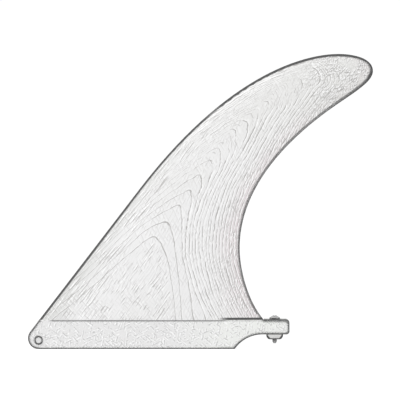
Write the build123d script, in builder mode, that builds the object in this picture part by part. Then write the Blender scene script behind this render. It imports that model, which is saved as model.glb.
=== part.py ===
from build123d import *
import math
import os

# Longboard fin in millimetres: X runs back from the leading edge, Y across the fin, Z up to the tip.
# The origin is the centre of the front cross pin, on the fin's middle plane.

# Base tab, the part that slides into the board's slotted fin box
tab_width = 9.3
pin_above_foot = 6.8
tab_height = 22.1
front_round = 8.1
tongue_rise = 0.65
tongue_height = 11.6
tongue_end_x = 191.2
tongue_top_round = 3.2
tongue_bottom_round = 2.4
seat_gap = 0.3
runout_x = 170.6
runout_radius = 25.6
foot_end_round = 1.5
tab_edge_bevel = 0.6

# Blade outline, from the foot of the leading edge
blade_depth = 203.2
leading_sweep = 52.57
straight_edge = 126.4
crown_reach = 228.4
tip_reach = 254.3
tip_drop = 13.2
shoulder_back = 23.5
shoulder_drop = 22.7
shoulder_heading = 213.8
waist_chord = 152.7
waist_height = 54.7
root_chord = 171.1
root_heading = 310.3

# How far each end of an outline curve keeps to its own heading
rise_pull = 123.4
crown_front_pull = 15.0
crown_rear_pull = 4.5
tip_upper_pull = 12.3
tip_lower_pull = 6.6
shoulder_tip_pull = 16.6
shoulder_waist_pull = 56.0
waist_upper_pull = 43.4
waist_lower_pull = 15.0
root_pull = 20.0

# Foil of the blade
root_thickness = 8.9
tip_thickness = 3.4
edge_thickness = 1.0
fullest_tip_ratio = 0.17
finest_edge_ratio = 0.06
foil_sections = 26
tip_crowding_ratio = 1.2
tip_close_ratio = 0.997
foil_points = 8
nose_crowding_ratio = 1.5
nose_lean_ratio = 0.02

# Tenon that carries the blade in the tab
tenon_thickness = 4.0
tenon_depth = 11.0
tenon_length = 117.0
tenon_setback = 11.0
glue_gap = 0.1

# Front cross pin
pin_diameter = 4.76
pin_length = 14.3
pin_grip_diameter = 5.3
pin_chamfer = 0.3
pin_hole_gap = 0.02

# Rear clamp: a machine screw through the tongue, and the tapped plate that it draws up under it
screw_x = 179.9
shank_diameter = 4.0
shank_length = 18.6
point_length = 2.4
point_flat = 0.6
head_diameter = 8.0
head_height = 2.7
head_side = 1.0
recess_span = 4.2
recess_width = 1.1
recess_depth = 1.5
recess_taper = 8.0
screw_hole_gap = 0.3
plate_size = 12.7
plate_thickness = 3.6
plate_lower_round = 2.9
plate_edge_round = 0.3
thread_gap = 0.05

# Heights and places that follow from the sizes
foot_z = -pin_above_foot
seam_z = foot_z + tab_height
tongue_top_z = seam_z + tongue_rise
tongue_z = tongue_top_z - tongue_height
sweep = math.radians(leading_sweep)
front_corner_x = -front_round / math.tan(sweep / 2)
edge_foot_x = front_corner_x + tab_height / math.tan(sweep)


def heading(degrees):
    """Unit vector of a direction in the outline's plane."""
    turn = math.radians(degrees)
    return Vector(math.cos(turn), 0, math.sin(turn))


edge_foot = Vector(edge_foot_x, 0, seam_z)
straight_end = edge_foot + heading(leading_sweep) * straight_edge
crown = edge_foot + Vector(crown_reach, 0, blade_depth)
tip = edge_foot + Vector(tip_reach, 0, blade_depth - tip_drop)
shoulder = tip - Vector(shoulder_back, 0, shoulder_drop)
waist = edge_foot + Vector(waist_chord, 0, waist_height)
root_end = edge_foot + Vector(root_chord, 0, 0)

# Leading edge: a straight rake, a long bend up to the crown, then round the front of the tip
with BuildLine() as leading_edge:
    Line(edge_foot, straight_end)
    Bezier(
        straight_end,
        straight_end + heading(leading_sweep) * rise_pull,
        crown - heading(0) * crown_front_pull,
        crown,
    )
    Bezier(
        crown,
        crown + heading(0) * crown_rear_pull,
        tip + heading(90) * tip_upper_pull,
        tip,
    )

# Trailing edge: up from the tongue, in to the waist, out along the cutaway, then under the tip
with BuildLine() as trailing_edge:
    Bezier(
        root_end,
        root_end - heading(root_heading) * root_pull,
        waist - heading(90) * waist_lower_pull,
        waist,
    )
    Bezier(
        waist,
        waist + heading(90) * waist_upper_pull,
        shoulder + heading(shoulder_heading) * shoulder_waist_pull,
        shoulder,
    )
    Bezier(
        shoulder,
        shoulder - heading(shoulder_heading) * shoulder_tip_pull,
        tip - heading(90) * tip_lower_pull,
        tip,
    )


def softer_of(first, second):
    """The smaller of two sizes, with a smooth change from one to the other."""
    sharpness = 4
    return (first**-sharpness + second**-sharpness) ** (-1 / sharpness)


def foil_height(x):
    """Half height of the foil at x along its chord, as a share of its full thickness."""
    return 5 * (0.2969 * math.sqrt(x) - 0.1260 * x - 0.3516 * x**2 + 0.2843 * x**3 - 0.1015 * x**4)


def foil_sketch(front, rear, thickness):
    """Foil section between two edge points: round in front, fullest at a third, a narrow flat rear edge."""
    chord_line = rear - front
    chord = chord_line.length
    plane = Plane(origin=front, x_dir=chord_line, z_dir=chord_line.cross(Vector(0, 1, 0)))
    rear_half = min(edge_thickness, finest_edge_ratio * chord) / 2
    rear_step = rear_half - thickness * foil_height(1)
    upper = []
    lower = []
    for number in range(foil_points + 1):
        x = (1 - math.cos(math.pi / 2 * number / foil_points)) ** nose_crowding_ratio
        half = thickness * foil_height(x) + rear_step * x**3
        upper.append((chord * x, half))
        lower.append((chord * x, -half))
    rear_run = (Vector(*upper[-1]) - Vector(*upper[-2])).normalized()
    upper_ends = [(nose_lean_ratio, 1), (rear_run.X, rear_run.Y)]
    lower_ends = [(nose_lean_ratio, -1), (rear_run.X, -rear_run.Y)]
    with BuildSketch(plane) as section:
        with BuildLine():
            Spline(*upper, tangents=upper_ends, tangent_scalars=[1, 1])
            Spline(*lower, tangents=lower_ends, tangent_scalars=[1, 1])
            Line(upper[-1], lower[-1])
        make_face()
    return section.sketch


def tenon_sketch(gap):
    """Tenon outline on the seam, round-ended as it is routed, or its slot with the gap round it."""
    with BuildSketch(Plane.XY.offset(seam_z)) as outline:
        with Locations((edge_foot_x + tenon_setback + tenon_length / 2, 0)):
            SlotOverall(tenon_length + 2 * gap, tenon_thickness + 2 * gap)
    return outline.sketch


# Blade: shaped from one board, lofted through foil sections that follow the rake and close at the tip
with BuildPart() as blade:
    sections = []
    for number in range(foil_sections):
        height = tip_close_ratio * (1 - (1 - number / (foil_sections - 1)) ** tip_crowding_ratio)
        front = leading_edge.wire() @ height
        rear = trailing_edge.wire() @ height
        taper = root_thickness + (tip_thickness - root_thickness) * height
        thickness = softer_of(taper, fullest_tip_ratio * (rear - front).length)
        sections.append(foil_sketch(front, rear, thickness))
    loft(sections=sections)
    extrude(tenon_sketch(0), amount=-tenon_depth)

# Base tab: moulded in one piece, its tongue a step above the blade's seat, edges bevelled to enter the box
with BuildPart() as base_tab:
    seat_end_x = root_end.X + seat_gap
    rise = tongue_z - foot_z
    runout_turn = math.degrees(math.acos(1 - rise / runout_radius))
    foot_end_x = runout_x - runout_radius * math.sin(math.radians(runout_turn))
    with BuildSketch(Plane.XZ):
        with BuildLine():
            Polyline((foot_end_x, foot_z), (front_corner_x, foot_z), (edge_foot_x, seam_z))
            Polyline(
                (edge_foot_x, seam_z),
                (seat_end_x, seam_z),
                (seat_end_x, tongue_top_z),
                (tongue_end_x, tongue_top_z),
                (tongue_end_x, tongue_z),
                (runout_x, tongue_z),
            )
            CenterArc((runout_x, tongue_z - runout_radius), runout_radius, 90, runout_turn)
        make_face()
        fillet(vertices().group_by(Axis.Y)[0].sort_by(Axis.X)[-1], foot_end_round)
        fillet(vertices().group_by(Axis.Y)[0].sort_by(Axis.X)[0], front_round)
        fillet(vertices().group_by(Axis.X)[-1].sort_by(Axis.Y)[0], tongue_bottom_round)
        fillet(vertices().group_by(Axis.X)[-1].sort_by(Axis.Y)[-1], tongue_top_round)
    extrude(amount=tab_width / 2, both=True)
    sides = base_tab.faces().filter_by(Axis.Y)
    chamfer(sides.edges(), tab_edge_bevel)
    extrude(tenon_sketch(glue_gap), amount=-(tenon_depth + glue_gap), mode=Mode.SUBTRACT)
    with BuildSketch(Plane.XZ):
        Circle(pin_grip_diameter / 2 + pin_hole_gap)
    extrude(amount=tab_width, both=True, mode=Mode.SUBTRACT)
    with BuildSketch(Plane.XY.offset(tongue_top_z)):
        with Locations((screw_x, 0)):
            Circle(shank_diameter / 2 + screw_hole_gap)
    extrude(amount=-tongue_height, mode=Mode.SUBTRACT)

# Front pin: a turned cross pin, a shade thicker where the tab grips it, with both ends free
with BuildPart() as front_pin:
    with BuildSketch(Plane.XZ):
        Circle(pin_diameter / 2)
    extrude(amount=pin_length / 2, both=True)
    chamfer(front_pin.edges(), pin_chamfer)
    with BuildSketch(Plane.XZ):
        Circle(pin_grip_diameter / 2)
    extrude(amount=tab_width / 2, both=True)

# Clamp screw: pan head on the tongue, cross recess, plain shank where the thread is cut, pointed end
with BuildPart() as clamp_screw:
    dome_rise = head_height - head_side
    dome_radius = ((head_diameter / 2) ** 2 + dome_rise**2) / (2 * dome_rise)
    screw_plane = Plane(origin=(screw_x, 0, tongue_top_z), x_dir=(1, 0, 0), z_dir=(0, -1, 0))
    with BuildSketch(screw_plane):
        with BuildLine():
            Polyline(
                (0, head_height),
                (0, -shank_length),
                (point_flat / 2, -shank_length),
                (shank_diameter / 2, point_length - shank_length),
                (shank_diameter / 2, 0),
                (head_diameter / 2, 0),
                (head_diameter / 2, head_side),
            )
            RadiusArc((head_diameter / 2, head_side), (0, head_height), -dome_radius)
        make_face()
    revolve(axis=Axis((screw_x, 0, 0), (0, 0, 1)))
    with BuildSketch(Plane.XY.offset(tongue_top_z + head_height)):
        with Locations((screw_x, 0)):
            Rectangle(recess_span, recess_width)
            Rectangle(recess_width, recess_span)
    extrude(amount=-recess_depth, taper=recess_taper, mode=Mode.SUBTRACT)

# Clamp plate: drawn up under the tongue, wider than the tab so that its edges catch under the box
with BuildPart() as clamp_plate:
    with BuildSketch(Plane.XZ):
        with Locations((screw_x, tongue_z - plate_thickness / 2)):
            Rectangle(plate_size, plate_thickness)
        lower_corners = vertices().group_by(Axis.Y)[0]
        fillet(lower_corners, plate_lower_round)
    extrude(amount=plate_size / 2, both=True)
    chamfer(clamp_plate.faces().filter_by(Axis.Y).edges(), plate_edge_round)
    with BuildSketch(Plane.XY.offset(tongue_z)):
        with Locations((screw_x, 0)):
            Circle(shank_diameter / 2 + thread_gap)
    extrude(amount=-plate_thickness, mode=Mode.SUBTRACT)

os.makedirs("parts", exist_ok=True)
blade.part.label = "blade"
base_tab.part.label = "base_tab"
front_pin.part.label = "front_pin"
clamp_screw.part.label = "clamp_screw"
clamp_plate.part.label = "clamp_plate"
export_step(blade.part, "parts/blade.step")
export_step(base_tab.part, "parts/base_tab.step")
export_step(front_pin.part, "parts/front_pin.step")
export_step(clamp_screw.part, "parts/clamp_screw.step")
export_step(clamp_plate.part, "parts/clamp_plate.step")
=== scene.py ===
import math

import bmesh
import bpy
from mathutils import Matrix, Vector


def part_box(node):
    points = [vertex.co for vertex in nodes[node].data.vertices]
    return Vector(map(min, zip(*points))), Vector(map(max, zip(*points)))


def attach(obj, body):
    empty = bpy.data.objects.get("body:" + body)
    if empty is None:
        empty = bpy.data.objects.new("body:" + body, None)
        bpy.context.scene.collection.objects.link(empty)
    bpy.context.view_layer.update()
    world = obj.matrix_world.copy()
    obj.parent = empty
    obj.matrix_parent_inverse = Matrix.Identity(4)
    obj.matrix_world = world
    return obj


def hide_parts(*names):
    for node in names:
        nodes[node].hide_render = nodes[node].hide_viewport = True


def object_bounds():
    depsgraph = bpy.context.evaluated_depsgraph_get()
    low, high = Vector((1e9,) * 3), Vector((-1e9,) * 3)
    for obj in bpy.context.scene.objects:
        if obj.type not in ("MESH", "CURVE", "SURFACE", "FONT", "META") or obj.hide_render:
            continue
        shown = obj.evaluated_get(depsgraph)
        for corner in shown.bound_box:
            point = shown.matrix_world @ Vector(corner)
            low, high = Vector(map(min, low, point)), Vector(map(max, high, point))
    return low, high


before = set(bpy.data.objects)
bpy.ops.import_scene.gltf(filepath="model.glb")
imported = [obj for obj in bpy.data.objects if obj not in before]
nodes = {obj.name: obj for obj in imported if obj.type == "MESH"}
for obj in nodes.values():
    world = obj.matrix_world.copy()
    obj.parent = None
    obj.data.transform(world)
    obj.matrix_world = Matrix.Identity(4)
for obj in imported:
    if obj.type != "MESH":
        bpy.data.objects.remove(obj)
cad_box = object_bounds()
scene = bpy.context.scene
scene.view_settings.view_transform = "Standard"

# Camera: orthographic, a few degrees above the fin and square to its side, as the photograph was taken.
# The photograph is 400 pixels wide, and each of its pixels spans 0.762 mm of the fin.
pixels_across = 400
pixel_size = 0.7622e-3
view_centre = Vector((0.1230, 0, 0.1068))
view_elevation = math.radians(4.5)
view_distance = 3.0
view_line = Vector((0, math.cos(view_elevation), -math.sin(view_elevation)))
lens = bpy.data.cameras.new("camera")
lens.type = "ORTHO"
lens.ortho_scale = pixels_across * pixel_size
camera = bpy.data.objects.new("camera", lens)
camera.location = view_centre - view_line * view_distance
camera.rotation_euler = (math.pi / 2 - view_elevation, 0, 0)
scene.collection.objects.link(camera)
scene.camera = camera

# Sky: even pale light from all round, and pure white where the camera or a reflection looks past the floor.
# The two are mixed by the kind of ray, so that the white is only seen or mirrored.
plain_white = (1, 1, 1, 1)
sky_light = 0.55
backdrop_light = 1.0


def put(tree, socket, value):
    """Links a socket to another one, or sets it to a plain value."""
    if isinstance(value, bpy.types.NodeSocket):
        tree.links.new(value, socket)
    else:
        socket.default_value = value


def add(tree, kind, inputs, **settings):
    """A new shader node, with its settings applied and its inputs linked or set."""
    made = tree.nodes.new("ShaderNode" + kind)
    for name, value in settings.items():
        setattr(made, name, value)
    for name, value in inputs.items():
        put(tree, made.inputs[name], value)
    return made


def calc(tree, operation, *values, clamp=False):
    """The result of a Math node on sockets or numbers."""
    made = add(tree, "Math", dict(enumerate(values)), operation=operation, use_clamp=clamp)
    return made.outputs["Value"]


world = bpy.data.worlds.new("studio")
world.use_nodes = True
scene.world = world
sky = world.node_tree
sky.nodes.clear()
sky_rays = add(sky, "LightPath", {}).outputs
mirrored = calc(sky, "MAXIMUM", sky_rays["Is Glossy Ray"], sky_rays["Is Transmission Ray"])
in_sight = calc(sky, "MAXIMUM", sky_rays["Is Camera Ray"], mirrored)
fill = add(sky, "Background", {"Color": plain_white, "Strength": sky_light})
backdrop = add(sky, "Background", {"Color": plain_white, "Strength": backdrop_light})
sky_mix = add(sky, "MixShader", {0: in_sight, 1: fill.outputs[0], 2: backdrop.outputs[0]})
add(sky, "OutputWorld", {"Surface": sky_mix.outputs[0]})

# Softbox: one large lamp in front of the fin, above it and to the left.
softbox_width = 1.4
softbox_height = 1.0
softbox_power = 22
softbox_offset = Vector((-0.7, -1.5, 1.0))
lamp = bpy.data.lights.new("softbox", "AREA")
lamp.shape = "RECTANGLE"
lamp.size = softbox_width
lamp.size_y = softbox_height
lamp.energy = softbox_power
softbox = bpy.data.objects.new("softbox", lamp)
softbox.location = view_centre + softbox_offset
softbox.rotation_euler = (view_centre - softbox.location).to_track_quat("-Z", "Y").to_euler()
scene.collection.objects.link(softbox)

# Floor: plain pale paper under the tab's foot. To the camera it glows up to white, except in the fin's
# shadow, and to the fin it is plain paper that only sends light back.
floor_reach = 6.0
foot_z = cad_box[0][2]
lit_paper = (0.8, 0.8, 0.8, 1)
seen_paper = (0.4, 0.4, 0.4, 1)
paper_glow = 0.8


def wear_on(piece, look):
    """Gives a piece its one material."""
    piece.data.materials.clear()
    piece.data.materials.append(look)


corners = [(x * floor_reach, y * floor_reach, foot_z) for x, y in ((-1, -1), (1, -1), (1, 1), (-1, 1))]
floor_mesh = bpy.data.meshes.new("floor")
floor_mesh.from_pydata(corners, [], [(0, 1, 2, 3)])
floor = bpy.data.objects.new("floor", floor_mesh)
scene.collection.objects.link(floor)
paper = bpy.data.materials.new("floor_paper")
paper.use_nodes = True
tree = paper.node_tree
tree.nodes.clear()
lit = add(tree, "BsdfDiffuse", {"Color": lit_paper})
seen = add(tree, "BsdfDiffuse", {"Color": seen_paper})
glow = add(tree, "Emission", {"Strength": paper_glow})
glowing = add(tree, "AddShader", {0: seen.outputs[0], 1: glow.outputs[0]})
paper_rays = add(tree, "LightPath", {}).outputs
paper_mix = add(tree, "MixShader", {0: paper_rays["Is Camera Ray"], 1: lit.outputs[0], 2: glowing.outputs[0]})
add(tree, "OutputMaterial", {"Surface": paper_mix.outputs[0]})
wear_on(floor, paper)

# Edge shade: every edge has a thin dark line of painted shade, where the surface turns away from the light.
# The group gives a mask that is 1 on an edge and fades within its width. The rounded normal of the Bevel
# node leaves the surface's own one only there.
edge_samples = 8
flat_agreement = 0.997
edge_agreement = 0.97


def ramp(tree, value, start, end, low=0.0, high=1.0):
    """A smooth step from low to high as the value goes from start to end."""
    inputs = {"Value": value, "From Min": start, "From Max": end, "To Min": low, "To Max": high}
    return add(tree, "MapRange", inputs, interpolation_type="SMOOTHSTEP").outputs["Result"]


edge_shade_group = bpy.data.node_groups.new("painted_edge_shade", "ShaderNodeTree")
edge_shade_group.interface.new_socket("Width", in_out="INPUT", socket_type="NodeSocketFloat")
edge_shade_group.interface.new_socket("Mask", in_out="OUTPUT", socket_type="NodeSocketFloat")
asked = edge_shade_group.nodes.new("NodeGroupInput").outputs
given = edge_shade_group.nodes.new("NodeGroupOutput").inputs
rounded = add(edge_shade_group, "Bevel", {"Radius": asked["Width"]}, samples=edge_samples).outputs["Normal"]
surface = add(edge_shade_group, "NewGeometry", {}).outputs["Normal"]
agreement = add(edge_shade_group, "VectorMath", {0: rounded, 1: surface}, operation="DOT_PRODUCT").outputs["Value"]
put(edge_shade_group, given["Mask"], ramp(edge_shade_group, agreement, flat_agreement, edge_agreement))


def edge_mask(tree, width):
    """The painted edge shade's mask in a material, for a line of this width."""
    return add(tree, "Group", {"Width": width}, node_tree=edge_shade_group).outputs["Mask"]


# Strokes: broken dark lines with a pale one beside each, all turned the same way in the plane of the fin, as
# pores and fibres show under a clear coat. The pattern is counted in lengths along a stroke and in spacings
# across it.
drift_scale = 0.6
drift_reach = 1.4
break_scale = 1.3
break_start = 0.44
break_end = 0.56


def noise(tree, place, scale, detail, roughness=0.5):
    """Soft random patches from 0 to 1, the finer the larger the scale."""
    inputs = {"Vector": place, "Scale": scale, "Detail": detail, "Roughness": roughness}
    return add(tree, "TexNoise", inputs).outputs["Fac"]


def away(tree, value, middle):
    """How far a value is from a middle, on either side."""
    return calc(tree, "ABSOLUTE", calc(tree, "SUBTRACT", value, middle))


def joined(tree, x=0.0, y=0.0, z=0.0):
    """A vector made of its X, Y and Z."""
    return add(tree, "CombineXYZ", {"X": x, "Y": y, "Z": z}).outputs[0]


def split(tree, vector):
    """The X, Y and Z that a vector is made of."""
    return add(tree, "SeparateXYZ", {0: vector}).outputs


strokes = bpy.data.node_groups.new("strokes", "ShaderNodeTree")
for name, kind in (("Place", "Vector"), ("Turn", "Float"), ("Length", "Float"), ("Spacing", "Float")):
    strokes.interface.new_socket(name, in_out="INPUT", socket_type="NodeSocket" + kind)
for name in ("Dark", "Pale"):
    strokes.interface.new_socket(name, in_out="OUTPUT", socket_type="NodeSocketFloat")
asked = strokes.nodes.new("NodeGroupInput").outputs
given = strokes.nodes.new("NodeGroupOutput").inputs
rotation = {"Vector": asked["Place"], "Angle": asked["Turn"]}
aligned = add(strokes, "VectorRotate", rotation, rotation_type="Y_AXIS").outputs[0]
stroke_size = joined(strokes, asked["Length"], asked["Length"], asked["Spacing"])
counted = add(strokes, "VectorMath", {0: aligned, 1: stroke_size}, operation="DIVIDE").outputs[0]
drift = calc(strokes, "MULTIPLY", noise(strokes, counted, drift_scale, 1.0), drift_reach)
phase = calc(strokes, "ADD", split(strokes, counted)["Z"], drift)
off_middle = calc(strokes, "SUBTRACT", calc(strokes, "FRACT", phase), 0.5)
unbroken = ramp(strokes, noise(strokes, counted, break_scale, 0.0), break_start, break_end)
for name, middle, reach in (("Dark", 0.0, 0.2), ("Pale", 0.3, 0.26)):
    near = ramp(strokes, away(strokes, off_middle, middle), reach, reach / 3)
    put(strokes, given[name], calc(strokes, "MULTIPLY", near, unbroken))


def stroked(tree, place, degrees, length, spacing):
    """The dark and pale strokes in a material, turned by some degrees."""
    inputs = {"Place": place, "Turn": math.radians(degrees), "Length": length, "Spacing": spacing}
    return add(tree, "Group", inputs, node_tree=strokes).outputs


# Blade: foiled from one plain-sawn board of bleached wood, so its growth rings show as nested arches that
# climb the middle of the fin and run down along both edges. It has a clear satin coat, and painted edge
# shade.
# Heights are shares of the blade's depth above the seam, and places along are shares of the fin's length.
seam_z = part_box("base_tab")[1][2]
crown_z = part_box("blade")[1][2]
fin_length = 0.26
pale_wood = (0.825, 0.823, 0.825, 1)
pink_wood = (0.735, 0.655, 0.68, 1)
front_wood = (0.6, 0.603, 0.59, 1)
green_wood = (0.75, 0.75, 0.73, 1)
tip_wood = (0.69, 0.69, 0.66, 1)
bright_fleck = (0.97, 0.97, 0.97, 1)
ring_brown = (0.33, 0.32, 0.31, 1)
# The dark grey of all painted edge shade and painted shadow.
painted_shade_grey = (0.08, 0.08, 0.08, 1)


def curve(tree, value, points):
    """A smooth curve through the points, each from 0 to 1, read at the value."""
    made = add(tree, "FloatCurve", {"Value": value})
    line = made.mapping.curves[0]
    line.points[0].location = points[0]
    line.points[1].location = points[-1]
    for point in points[1:-1]:
        line.points.new(*point)
    made.mapping.update()
    return made.outputs["Value"]


def tint(tree, share, first, second):
    """Two colours mixed, by the share of the second."""
    return add(tree, "Mix", {0: share, 6: first, 7: second}, data_type="RGBA").outputs[2]


def relief(tree, height, strength, distance):
    """Normals that let a height show as fine relief."""
    inputs = {"Height": height, "Strength": strength, "Distance": distance}
    return add(tree, "Bump", inputs).outputs["Normal"]


def share_of(tree, value, start, end):
    """How far a value has gone from start to end, from 0 to 1."""
    return add(tree, "MapRange", {"Value": value, "From Min": start, "From Max": end}).outputs["Result"]


def new_look(name):
    """A new material, its node tree, and the place on the piece that it paints."""
    made = bpy.data.materials.new(name)
    made.use_nodes = True
    return made, made.node_tree, add(made.node_tree, "TexCoord", {}).outputs["Object"]


def dress(piece, look, inputs):
    """Sets or links these inputs of a material's shader, and gives the material to a piece."""
    for name, value in inputs.items():
        put(look.node_tree, look.node_tree.nodes["Principled BSDF"].inputs[name], value)
    wear_on(piece, look)


wood, tree, place = new_look("bleached_wood")
spot = split(tree, place)
height = share_of(tree, spot["Z"], seam_z, crown_z)
along = calc(tree, "DIVIDE", spot["X"], fin_length)

# The board's pattern is drawn between three lines, each given as a place along at every height: its front
# edge, the heart of the arches and its rear edge.
front = curve(tree, height, [
    (0, 0.004), (0.17, 0.106), (0.47, 0.283), (0.66, 0.412), (0.81, 0.537), (0.91, 0.65), (1, 0.86),
])
heart = curve(tree, height, [
    (0, 0.32), (0.32, 0.348), (0.43, 0.413), (0.56, 0.484), (0.72, 0.575), (0.8, 0.65), (0.89, 0.725),
    (0.95, 0.81), (1, 0.88),
])
rear = curve(tree, height, [
    (0, 0.658), (0.12, 0.612), (0.27, 0.587), (0.42, 0.607), (0.56, 0.667), (0.74, 0.794), (0.86, 0.926),
    (0.92, 0.975), (1, 0.9),
])
from_heart = calc(tree, "SUBTRACT", along, heart)
before_heart = calc(tree, "MULTIPLY", from_heart, -1.0)
in_front = calc(tree, "DIVIDE", before_heart, calc(tree, "SUBTRACT", heart, front), clamp=True)
behind = calc(tree, "DIVIDE", from_heart, calc(tree, "SUBTRACT", rear, heart), clamp=True)
to_edge = calc(tree, "MAXIMUM", in_front, behind)

# An arch's level is its height. It falls away gently in front, and behind it drops nearly straight down from
# the height at which the heart line stands over the same place.
front_fall = curve(tree, in_front, [
    (0, 0), (0.05, 0.002), (0.1, 0.009), (0.2, 0.028), (0.3, 0.052), (0.4, 0.082), (0.5, 0.118), (0.6, 0.16),
    (0.7, 0.205), (0.85, 0.285), (1, 0.37),
])
over = curve(tree, along, [
    (0, 0), (0.32, 0.24), (0.348, 0.32), (0.413, 0.43), (0.484, 0.56), (0.575, 0.72), (0.65, 0.8),
    (0.725, 0.89), (0.81, 0.95), (0.88, 0.99), (1, 1),
])
rounding = ramp(tree, over, 0.6, 0.8, ramp(tree, over, 0.32, 0.45, 0.12, 0.02), 0.05)
drop = calc(tree, "SMOOTH_MAX", calc(tree, "SUBTRACT", over, height), 0.0, rounding)
low_steepness = ramp(tree, over, 0.3, 0.46, 0.45, 0.86)
steepness = calc(tree, "ADD", low_steepness, ramp(tree, over, 0.6, 0.85, 0.0, 0.14))
rear_fall = calc(tree, "MULTIPLY", drop, steepness)
level = calc(tree, "ADD", height, calc(tree, "ADD", front_fall, rear_fall))

# The rings are counted out from the heart of the tree, and they stand closer together up towards the crown.
# Each one's rear leg ends in a line that runs down beside the rear edge, all of them evenly spaced.
first_level = 0.2
last_level = 1.2
rings_counted = 26
leg_reach = 0.197
leg_spacing = 0.0099
level_share = share_of(tree, level, first_level, last_level)
arch_count = curve(tree, level_share, [(share, rings / rings_counted) for share, rings in (
    (0, 0), (0.117, 2), (0.346, 6), (0.45, 8), (0.52, 10), (0.6, 12), (0.655, 14), (0.71, 18), (0.76, 20.5),
    (1, 26),
)])
arch_count = calc(tree, "MULTIPLY", arch_count, rings_counted)
leg_start = calc(tree, "SUBTRACT", rear, leg_reach)
leg_count = calc(tree, "DIVIDE", calc(tree, "SUBTRACT", along, leg_start), leg_spacing)
climb = curve(tree, height, [
    (0, 0.04), (0.4, 0.042), (0.5, 0.067), (0.63, 0.14), (0.745, 0.29), (0.79, 0.38), (0.857, 0.52),
    (0.895, 0.58), (1, 0.7),
])
leg_count = calc(tree, "ADD", leg_count, calc(tree, "MULTIPLY", climb, rings_counted))
count = calc(tree, "SMOOTH_MAX", arch_count, leg_count, ramp(tree, height, 0.6, 0.85, 1.5, 4.0))
on_legs = ramp(tree, calc(tree, "SUBTRACT", leg_count, arch_count), -1.0, 0.5)
on_crown = calc(tree, "MULTIPLY", ramp(tree, in_front, 0.15, 0.4), ramp(tree, height, 0.6, 0.75))
crowded = calc(tree, "MAXIMUM", on_legs, on_crown)

# Growth is never even: the rings wander, and where they are crowded they stand in bunches.
wander_scale = 80.0
wander_detail = 3.0
wander_roughness = 0.65
bunch_per_ring = 0.7
bunches_up = 7.0
wander_reach = ramp(tree, on_legs, 0, 1, ramp(tree, height, 0.4, 0.65, 0.35, 1.1), 0.8)
wander = noise(tree, place, wander_scale, wander_detail, wander_roughness)
wander = calc(tree, "MULTIPLY", calc(tree, "SUBTRACT", wander, 0.5), wander_reach)
bunch_x = calc(tree, "MULTIPLY", count, bunch_per_ring)
bunch_place = joined(tree, bunch_x, calc(tree, "MULTIPLY", height, bunches_up))
bunching = calc(tree, "SUBTRACT", noise(tree, bunch_place, 1.0, 0.0), 0.5)
bunching = calc(tree, "MULTIPLY", bunching, ramp(tree, crowded, 0, 1, 0.0, 0.9))
count = calc(tree, "ADD", count, calc(tree, "ADD", wander, bunching))

# A ring is a thin dark line wherever the count is whole, with a pale one beside it. It breaks off here and
# there, and in the upper half a fainter line stands between two rings.
lengths_along = 30.0
lengths_up = 40.0
ring_strength = 0.8
arch_width = ramp(tree, height, 0.5, 0.65, 0.048, 0.038)
off_ring = calc(tree, "FRACT", calc(tree, "ADD", count, 0.5))
off_ring = calc(tree, "SUBTRACT", off_ring, 0.5)
off_ring = calc(tree, "DIVIDE", off_ring, ramp(tree, crowded, 0, 1, arch_width, 0.12))
length_y = calc(tree, "MULTIPLY", along, lengths_along)
length_z = calc(tree, "MULTIPLY", height, lengths_up)
lengths = noise(tree, joined(tree, count, length_y, length_z), 1.0, 1.0)
grown = calc(tree, "MULTIPLY", ramp(tree, count, 1.6, 1.9), ramp(tree, along, 0.84, 0.92, 1.0, 0.35))
ring = calc(tree, "MULTIPLY", ramp(tree, calc(tree, "ABSOLUTE", off_ring), 1.3, 0.5), grown)
least_shown = ramp(tree, on_legs, 0, 1, ramp(tree, height, 0.45, 0.6, 0.6, 0.2), 0.35)
ring = calc(tree, "MULTIPLY", ring, ramp(tree, lengths, 0.4, 0.55, least_shown, 1.0))
between = away(tree, calc(tree, "FRACT", count), 0.5)
upper_half = calc(tree, "MULTIPLY", grown, ramp(tree, height, 0.4, 0.6, 0.0, 0.55))
between = calc(tree, "MULTIPLY", ramp(tree, between, 0.08, 0.03), upper_half)
between = calc(tree, "MULTIPLY", between, ramp(tree, crowded, 0.0, 0.6, 1.0, 0.0))
ring = calc(tree, "MAXIMUM", ring, calc(tree, "MULTIPLY", between, ramp(tree, lengths, 0.45, 0.6)))
beside = calc(tree, "MULTIPLY", ramp(tree, away(tree, off_ring, 2.2), 1.6, 0.6), grown)
pale_ring = calc(tree, "MULTIPLY", beside, ramp(tree, crowded, 0, 1, 0.4, 0.85))

# Pores show as strokes: two faint layers all over, and more of them along the rake beside the leading edge,
# along the crown further up, slanting inside the lowest arch and at the foot in front, along the rear edge in
# its margin, and every way at the tip.
pore_strength = 0.65
patch_scale = 90.0
ahead = ramp(tree, in_front, 0.3, 0.6)
by_front = calc(tree, "MULTIPLY", ahead, ramp(tree, height, 0.8, 0.62, 0.0, 1.1))
by_foot = calc(tree, "MULTIPLY", ramp(tree, height, 0.13, 0.05, 0.0, 0.55), ramp(tree, along, 0.4, 0.3))
by_crown = calc(tree, "MULTIPLY", ahead, ramp(tree, height, 0.64, 0.72))
crown_low = calc(tree, "MULTIPLY", by_crown, ramp(tree, height, 0.88, 0.8))
crown_high = calc(tree, "MULTIPLY", by_crown, ramp(tree, height, 0.8, 0.88))
inside = ramp(tree, count, 1.75, 1.45)
by_rear = ramp(tree, behind, 0.45, 0.9, 0.0, 1.2)
at_tip = ramp(tree, along, 0.7, 0.88, 0.0, 1.3)
patches = ramp(tree, noise(tree, place, patch_scale, 1.0), 0.35, 0.55, 0.25, 1.0)
dark_pores = 0.0
pale_pores = 0.0
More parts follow.
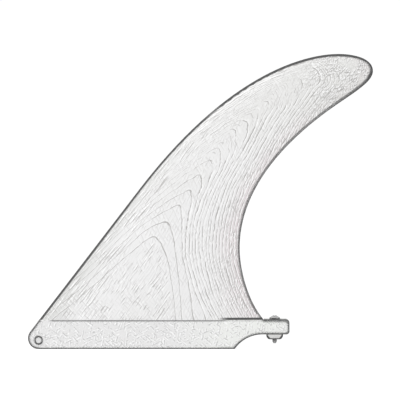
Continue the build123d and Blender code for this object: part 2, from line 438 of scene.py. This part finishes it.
for share, degrees, length, spacing in (
    (0.4, 66, 0.006, 0.0023),
    (0.3, -62, 0.007, 0.0028),
    (by_front, 52, 0.018, 0.0023),
    (crown_low, 38, 0.012, 0.0024),
    (crown_high, 20, 0.012, 0.0024),
    (inside, 54, 0.008, 0.0021),
    (by_foot, -48, 0.006, 0.0028),
    (by_rear, 75, 0.003, 0.0017),
    (at_tip, 45, 0.005, 0.0018),
    (at_tip, 10, 0.003, 0.0026),
    (at_tip, 80, 0.003, 0.0016),
):
    pore = stroked(tree, place, degrees, length, spacing)
    shown = calc(tree, "MULTIPLY", share, patches)
    dark_pores = calc(tree, "MAXIMUM", calc(tree, "MULTIPLY", pore["Dark"], shown), dark_pores)
    pale_pores = calc(tree, "MAXIMUM", calc(tree, "MULTIPLY", pore["Pale"], shown), pale_pores)
ring_dark = calc(tree, "MULTIPLY", ring, ring_strength)
dark = calc(tree, "MAXIMUM", ring_dark, calc(tree, "MULTIPLY", dark_pores, pore_strength))
pale = calc(tree, "MAXIMUM", pale_ring, pale_pores)
pale = calc(tree, "MULTIPLY", pale, ramp(tree, in_front, 0.75, 0.95, 1.0, 0.8))

# The wood is greyer along its front edge and at the tip, and it blushes pink in patches along its rear edge.
# Faint green clouds lie over all of it.
wood_cloud_scale = 22.0
cloud_detail = 2.0
tip_share = 0.2
clouds = noise(tree, place, wood_cloud_scale, cloud_detail)
side = ramp(tree, from_heart, -0.01, 0.06)
margin_share = calc(tree, "MAXIMUM", side, ramp(tree, height, 0.55, 0.75, 1.0, 0.1))
margin = calc(tree, "MULTIPLY", ramp(tree, to_edge, 0.6, 1.05), margin_share)
blush = calc(tree, "MULTIPLY", side, ramp(tree, clouds, 0.42, 0.6, 0.35, 1.0))
greyed = calc(tree, "MULTIPLY", at_tip, tip_share)
greyed = calc(tree, "ADD", greyed, ramp(tree, height, 0.55, 0.85, 0.0, 0.35))
body = tint(tree, margin, pale_wood, tint(tree, blush, front_wood, pink_wood))
body = tint(tree, greyed, body, tip_wood)
body = tint(tree, ramp(tree, clouds, 0.45, 0.75, 0.0, 0.3), body, green_wood)
body = tint(tree, pale, body, bright_fleck)
body = tint(tree, dark, body, ring_brown)

# The painted edge shade also runs round the rounded leading edge, as painted shade on its nose, out to where
# the foil is 3 mm thick, and to 2.6 mm higher up. At the crown and the tip, where all of the foil is thin, it
# runs out to where the surface turns away from the side. Down at the seam it stops, and a painted shadow
# where the blade's foot meets the tab takes its place in the rear half.
nose_radius = 0.0012
half_thick_low = 0.00148
half_thick_high = 0.00128
edge_shade_width = 0.0034
tip_edge_shade_width = 0.0038
# Painted shade on the rounded nose, where the smoothed surface turns away from the side.
smoothed = add(tree, "Bevel", {"Radius": nose_radius}, samples=edge_samples).outputs["Normal"]
nose = calc(tree, "ABSOLUTE", split(tree, smoothed)["Y"])
nose_start = curve(tree, height, [(0, 0.94), (0.6, 0.935), (0.75, 0.945), (1, 0.959)])
nose = ramp(tree, calc(tree, "SUBTRACT", nose, nose_start), 0.008, -0.012)
turned_away = calc(tree, "MULTIPLY", nose, ramp(tree, height, 0.74, 0.82))
shade_end_thick = ramp(tree, height, 0.2, 0.6, half_thick_low, half_thick_high)
thickness = calc(tree, "DIVIDE", calc(tree, "ABSOLUTE", spot["Y"]), shade_end_thick)
thin = calc(tree, "MULTIPLY", ramp(tree, thickness, 1.08, 0.88), ramp(tree, height, 0.82, 0.74))
front_shade = calc(tree, "MULTIPLY", thin, ramp(tree, in_front, 0.5, 0.7))
front_shade = calc(tree, "MAXIMUM", turned_away, front_shade)
# Painted shade: a dark line along the blade's edges, a little wider at the tip.
painted_shade = edge_mask(tree, ramp(tree, along, 0.8, 0.92, edge_shade_width, tip_edge_shade_width))
painted_shade = ramp(tree, painted_shade, 0.1, 0.35)
over_seam = ramp(tree, spot["Z"], seam_z + 0.003, seam_z + 0.004)
off_seam = calc(tree, "MAXIMUM", over_seam, ramp(tree, to_edge, 0.97, 0.985))
# Painted shadow: a dark line along the rear half of the blade's foot, where it meets the tab.
on_foot = ramp(tree, spot["Z"], seam_z + 0.0012, seam_z + 0.0008)
foot_line = calc(tree, "MULTIPLY", on_foot, ramp(tree, spot["X"], 0.135, 0.145))
painted_shade = calc(tree, "MAXIMUM", calc(tree, "MULTIPLY", painted_shade, off_seam), front_shade)
painted_shade = calc(tree, "MAXIMUM", painted_shade, foot_line)

# The grain lies a little deeper where it is dark. The clear coat lies only where no shade is painted.
coat_weight = 0.25
coat_roughness = 0.22
wood_gloss = 0.4
edge_shade_roughness = 0.75
pale_rise = 0.2
grain_height = calc(tree, "SUBTRACT", calc(tree, "MULTIPLY", pale, pale_rise), dark)
wood_roughness = ramp(tree, dark, 0.0, 0.8, 0.4, 0.55)
dress(nodes["blade"], wood, {
    "Base Color": tint(tree, painted_shade, body, painted_shade_grey),
    "Roughness": calc(tree, "MAXIMUM", wood_roughness, calc(tree, "MULTIPLY", painted_shade, edge_shade_roughness)),
    "Specular IOR Level": wood_gloss,
    "Coat Weight": ramp(tree, painted_shade, 0.0, 1.0, coat_weight, 0.0),
    "Coat Roughness": coat_roughness,
    "Normal": relief(tree, grain_height, strength=0.25, distance=0.00012),
})

# Base tab: moulded from resin with chopped glass strand, which shows as pale and dark strokes every way. The
# resin is a little greener towards the screw.
pale_resin = (0.775, 0.772, 0.772, 1)
green_resin = (0.84, 0.852, 0.828, 1)
strand_light = (0.95, 0.95, 0.95, 1)
strand_dark = (0.42, 0.42, 0.42, 1)
strand_length = 0.0034
strand_spacing = 0.0020
strand_strength = 0.65
clump_scale = 200.0
resin_cloud_scale = 30.0
cloud_reach = 0.04
resin, tree, place = new_look("glass_resin")
spot = split(tree, place)
dark_strands = 0.0
light_strands = 0.0
for degrees in (25, 80, 140):
    strand = stroked(tree, place, degrees, strand_length, strand_spacing)
    clumps = ramp(tree, noise(tree, place, clump_scale + degrees, 0.0), 0.45, 0.6)
    shown = calc(tree, "MULTIPLY", clumps, ramp(tree, spot["X"], 0.14, 0.17, 1.0, 0.9))
    dark_strands = calc(tree, "MAXIMUM", calc(tree, "MULTIPLY", strand["Dark"], shown), dark_strands)
    light_strands = calc(tree, "MAXIMUM", calc(tree, "MULTIPLY", strand["Pale"], shown), light_strands)
clouds = noise(tree, place, resin_cloud_scale, cloud_detail)
greened = calc(tree, "ADD", spot["X"], calc(tree, "MULTIPLY", clouds, cloud_reach))
body = tint(tree, ramp(tree, greened, 0.12, 0.18), pale_resin, green_resin)
body = tint(tree, light_strands, body, strand_light)
body = tint(tree, calc(tree, "MULTIPLY", dark_strands, strand_strength), body, strand_dark)

# Its edges and bevels carry painted shade, where they turn away from the light, and a painted shadow runs
# along the seam where the blade meets the tab. That line is left out in front, where the blade is bonded
# flush, fades over the rear half, where the blade's own painted foot shadow runs, and is full on the tongue.
# Places here are in metres from the pin.
line_on = 0.75
line_by_foot = 0.35
thin_line = 0.0019
thick_line = 0.003
nose_line = 0.0009
seam_thinning = 0.0014
tongue_thickening = 0.0017
rake = 0.7655
# Painted shadow along the seam where the blade meets the tab.
by_seam = ramp(tree, spot["Z"], seam_z - 0.004, seam_z - 0.003)
down_rake = calc(tree, "MULTIPLY", calc(tree, "SUBTRACT", seam_z, spot["Z"]), rake)
from_front = calc(tree, "ADD", spot["X"], down_rake)
by_seam = calc(tree, "MULTIPLY", by_seam, ramp(tree, from_front, 0.0025, 0.0035))
seam_line = ramp(tree, spot["X"], 0.007, 0.011, 0.0, line_on)
seam_line = calc(tree, "MULTIPLY", seam_line, ramp(tree, spot["X"], 0.138, 0.146, 1.0, line_by_foot))
seam_line = calc(tree, "MAXIMUM", seam_line, ramp(tree, spot["X"], 0.168, 0.172))
line_width = ramp(tree, spot["X"], 0.13, 0.15, thin_line, thick_line)
line_width = calc(tree, "ADD", line_width, ramp(tree, spot["X"], 0.003, -0.003, 0.0, nose_line))
before_tongue = calc(tree, "MULTIPLY", by_seam, ramp(tree, spot["X"], 0.174, 0.170))
thinner = calc(tree, "MULTIPLY", before_tongue, ramp(tree, spot["X"], 0.13, 0.15, 0.0, seam_thinning))
thicker = calc(tree, "MULTIPLY", by_seam, ramp(tree, spot["X"], 0.170, 0.174, 0.0, tongue_thickening))
line_width = calc(tree, "ADD", calc(tree, "SUBTRACT", line_width, thinner), thicker)
# Painted shade: a dark line along every edge of the tab.
painted_shade = edge_mask(tree, line_width)
# Painted shade on the chamfers, picked out by which way each face turns.
faced = split(tree, add(tree, "TexCoord", {}).outputs["Normal"])
side_on = calc(tree, "ABSOLUTE", faced["Y"])
bevelled = calc(tree, "MULTIPLY", ramp(tree, side_on, 0.95, 0.85), ramp(tree, side_on, 0.4, 0.55))
top_bevel = ramp(tree, faced["Z"], 0.55, 0.65)
missing = calc(tree, "SUBTRACT", 1.0, seam_line)
seam_left = calc(tree, "SUBTRACT", 1.0, calc(tree, "MULTIPLY", by_seam, missing))
bevel_left = calc(tree, "SUBTRACT", 1.0, calc(tree, "MULTIPLY", top_bevel, missing))
painted_shade = calc(tree, "MULTIPLY", painted_shade, seam_left)
painted_shade = calc(tree, "MAXIMUM", painted_shade, calc(tree, "MULTIPLY", bevelled, bevel_left))
strand_height = calc(tree, "SUBTRACT", light_strands, dark_strands)
dress(nodes["base_tab"], resin, {
    "Base Color": tint(tree, painted_shade, body, painted_shade_grey),
    "Roughness": ramp(tree, clouds, 0.3, 0.7, 0.36, 0.5),
    "Normal": relief(tree, strand_height, strength=0.2, distance=0.0001),
})

# Front pin: a turned stainless pin through the tab's front corner, with fine rings from the tool on its ends
# and a thin line of painted shade round their edges, where the pin meets the hole in the tab.
pin_grey = (0.78, 0.78, 0.78, 1)
pin_line = 0.0004
pin_metallic = 0.85
turning_scale = 900.0
pin_steel, tree, place = new_look("turned_steel")
waves = {"Vector": place, "Scale": turning_scale, "Distortion": 1.0}
turning = add(tree, "TexWave", waves, wave_type="RINGS", rings_direction="Y").outputs["Fac"]
# Painted shade: a thin dark line round the pin's ends.
dress(nodes["front_pin"], pin_steel, {
    "Base Color": tint(tree, edge_mask(tree, pin_line), pin_grey, painted_shade_grey),
    "Metallic": pin_metallic,
    "Roughness": ramp(tree, turning, 0.0, 1.0, 0.3, 0.42),
    "Normal": relief(tree, turning, strength=0.1, distance=0.00003),
})

# Clamp screw: an M4 stainless machine screw with a domed pan head and a cross recess, screwed down through
# the tongue into the plate. The solids leave its shank plain, so the scene turns the whole screw again, with
# its thread: first the dome, then the head's side, and then the shank from under the head to its point.
screw_low, screw_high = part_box("clamp_screw")
axis_x = (screw_low[0] + screw_high[0]) / 2
head_radius = (screw_high[0] - screw_low[0]) / 2
head_height = 0.0027
head_side = 0.0010
crest_radius = 0.00199
root_radius = 0.00157
thread_pitch = 0.0007
thread_steepness = 2.2
neck_length = 0.0008
point_length = 0.0018
point_radius = 0.0009
seat_z = screw_high[2] - head_height
shank_length = seat_z - screw_low[2]
sides = 48
steps_per_turn = 8
dome_steps = 10
dome_rise = head_height - head_side
dome_radius = (head_radius**2 + dome_rise**2) / (2 * dome_rise)
dome_middle = screw_high[2] - dome_radius
dome_turn = math.asin(head_radius / dome_radius)


def thread_radius(depth, turn):
    """Radius of the threaded shank at a depth below the head, in a direction given in turns."""
    groove_phase = (depth / thread_pitch - turn) % 1
    groove = (crest_radius - root_radius) * min(1, thread_steepness * (1 - abs(2 * groove_phase - 1)))
    run_in = min(1, max(0, (depth - neck_length) / thread_pitch))
    taper = point_radius + (crest_radius - point_radius) * (shank_length - depth) / point_length
    return min(crest_radius - groove * run_in, taper)


profile = []
for step in range(dome_steps):
    lean = dome_turn * (step + 1) / dome_steps
    profile.append([(dome_radius * math.sin(lean), dome_middle + dome_radius * math.cos(lean))] * sides)
profile.append([(head_radius, seat_z)] * sides)
rows = math.ceil(shank_length / thread_pitch * steps_per_turn)
for row in range(rows + 1):
    depth = shank_length * row / rows
    profile.append([(thread_radius(depth, side / sides), seat_z - depth) for side in range(sides)])
lathe = bmesh.new()
top = lathe.verts.new((axis_x, 0, screw_high[2]))
bottom = lathe.verts.new((axis_x, 0, screw_low[2]))
grid = []
for circle in profile:
    grid.append([])
    for side, (radius, z) in enumerate(circle):
        angle = math.tau * side / sides
        grid[-1].append(lathe.verts.new((axis_x + radius * math.cos(angle), radius * math.sin(angle), z)))
for side in range(sides):
    after = (side + 1) % sides
    lathe.faces.new((top, grid[0][side], grid[0][after]))
    lathe.faces.new((bottom, grid[-1][after], grid[-1][side]))
    for upper, lower in zip(grid, grid[1:]):
        lathe.faces.new((upper[side], lower[side], lower[after], upper[after]))
screw_mesh = bpy.data.meshes.new("screw")
lathe.to_mesh(screw_mesh)
lathe.free()
screw = bpy.data.objects.new("screw", screw_mesh)
scene.collection.objects.link(screw)

# The recess is pressed in with a tapered cross, which starts just above the head.
recess_half = 0.0021
recess_wing = 0.00055
recess_depth = 0.0015
recess_taper = 0.75
press_overlap = 0.0001
sharp_angle = math.radians(30)
press = bmesh.new()
cross = []
for quarter in range(4):
    for x, y in ((recess_wing, recess_wing), (recess_wing, recess_half), (-recess_wing, recess_half)):
        for _ in range(quarter):
            x, y = -y, x
        cross.append((x, y))
press_top = screw_high[2] + press_overlap
press_foot = screw_high[2] - recess_depth
wide_end = [press.verts.new((axis_x + x, y, press_top)) for x, y in cross]
narrow_end = [press.verts.new((axis_x + x * recess_taper, y * recess_taper, press_foot)) for x, y in cross]
press.faces.new(wide_end)
press.faces.new(reversed(narrow_end))
for first in range(len(cross)):
    second = (first + 1) % len(cross)
    press.faces.new((wide_end[second], wide_end[first], narrow_end[first], narrow_end[second]))
bmesh.ops.recalc_face_normals(press, faces=press.faces)
press_mesh = bpy.data.meshes.new("recess_press")
press.to_mesh(press_mesh)
press.free()
recess_press = bpy.data.objects.new("recess_press", press_mesh)
scene.collection.objects.link(recess_press)
recess = screw.modifiers.new("recess", "BOOLEAN")
recess.object = recess_press
recess.solver = "EXACT"
bpy.context.view_layer.update()
pressed = bpy.data.meshes.new_from_object(screw.evaluated_get(bpy.context.evaluated_depsgraph_get()))
screw.modifiers.clear()
screw.data = pressed
bpy.data.objects.remove(recess_press)
pressed.shade_smooth()
pressed.set_sharp_from_angle(angle=sharp_angle)

# Its steel is scuffed and satin. A painted shadow lies in spots round the base of the head, where it meets
# the tongue, the top of the dome is painted dark as painted shade, and the edges carry painted edge shade,
# half as much along the thread. Where it is dark it is also less of a metal.
screw_grey = (0.62, 0.62, 0.62, 1)
screw_line = 0.0010
thread_share = 0.5
crown_share = 0.8
hardware_metallic = 0.85
hardware_gloss = 0.1
scuff_scale = 1200.0
scuff_detail = 3.0
screw_steel, tree, place = new_look("screw_steel")
scuffs = noise(tree, place, scuff_scale, scuff_detail)
# Painted shade: a dark line along the screw's edges.
painted_shade = edge_mask(tree, screw_line)
z_place = split(tree, place)["Z"]
# Painted shadow round the base of the head, broken up by the scuffs.
head_base_shade = ramp(tree, away(tree, z_place, seat_z), 0.0015, 0.0008)
head_base_shade = calc(tree, "MULTIPLY", head_base_shade, ramp(tree, scuffs, 0.35, 0.5))
on_head = ramp(tree, z_place, seat_z - 0.001, seat_z, thread_share, 1.0)
painted_shade = calc(tree, "MAXIMUM", calc(tree, "MULTIPLY", painted_shade, on_head), head_base_shade)
# Painted shade on the top of the dome.
crown = ramp(tree, z_place, screw_high[2] - 0.0009, screw_high[2] - 0.0003)
painted_shade = calc(tree, "MAXIMUM", painted_shade, calc(tree, "MULTIPLY", crown, crown_share))
dress(screw, screw_steel, {
    "Base Color": tint(tree, painted_shade, screw_grey, painted_shade_grey),
    "Metallic": ramp(tree, painted_shade, 0.0, 1.0, hardware_metallic, 0.0),
    "Roughness": ramp(tree, scuffs, 0.3, 0.7, 0.3, 0.48),
    "Specular IOR Level": hardware_gloss,
    "Normal": relief(tree, scuffs, strength=0.15, distance=0.00003),
})
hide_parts("clamp_screw")
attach(screw, "root")

# Clamp plate: a square of tumbled stainless steel that is drawn up under the tongue. Its edges carry painted
# shade, but not where they meet the tongue, and so do its foot and its four upright corners, which lean in
# towards it.
plate_low, plate_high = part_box("clamp_plate")
plate_grey = (0.72, 0.72, 0.71, 1)
plate_line = 0.0018
corner_lean = 0.0022
tumbling_scale = 900.0
tumbling_detail = 3.0
plate_steel, tree, place = new_look("tumbled_steel")
tumbling = noise(tree, place, tumbling_scale, tumbling_detail)
spot = split(tree, place)
sunk = calc(tree, "MULTIPLY", ramp(tree, spot["Z"], plate_high[2], plate_low[2]), corner_lean)
in_corner = []
for side, (axis, fade_start, fade_end) in enumerate((("X", 0.0014, 0.0008), ("Y", 0.0024, 0.0016))):
    middle = (plate_low[side] + plate_high[side]) / 2
    half = (plate_high[side] - plate_low[side]) / 2
    out = calc(tree, "ADD", away(tree, spot[axis], middle), sunk)
    in_corner.append(ramp(tree, out, half - fade_start, half - fade_end))
# Painted shade on the plate's foot and its upright corners.
on_foot = ramp(tree, spot["Z"], plate_low[2] + 0.0010, plate_low[2] + 0.0006)
rim = calc(tree, "MAXIMUM", on_foot, calc(tree, "MULTIPLY", in_corner[0], in_corner[1]))
below_tongue = ramp(tree, spot["Z"], plate_high[2] - 0.0009, plate_high[2] - 0.0014)
# Painted shade along the plate's edges, left out just under the tongue.
painted_shade = ramp(tree, edge_mask(tree, plate_line), 0.0, 0.6)
painted_shade = calc(tree, "MAXIMUM", calc(tree, "MULTIPLY", painted_shade, below_tongue), rim)
dress(nodes["clamp_plate"], plate_steel, {
    "Base Color": tint(tree, painted_shade, plate_grey, painted_shade_grey),
    "Metallic": ramp(tree, painted_shade, 0.0, 1.0, hardware_metallic, 0.0),
    "Roughness": ramp(tree, tumbling, 0.3, 0.7, 0.3, 0.45),
    "Specular IOR Level": hardware_gloss,
    "Normal": relief(tree, tumbling, strength=0.2, distance=0.00004),
})
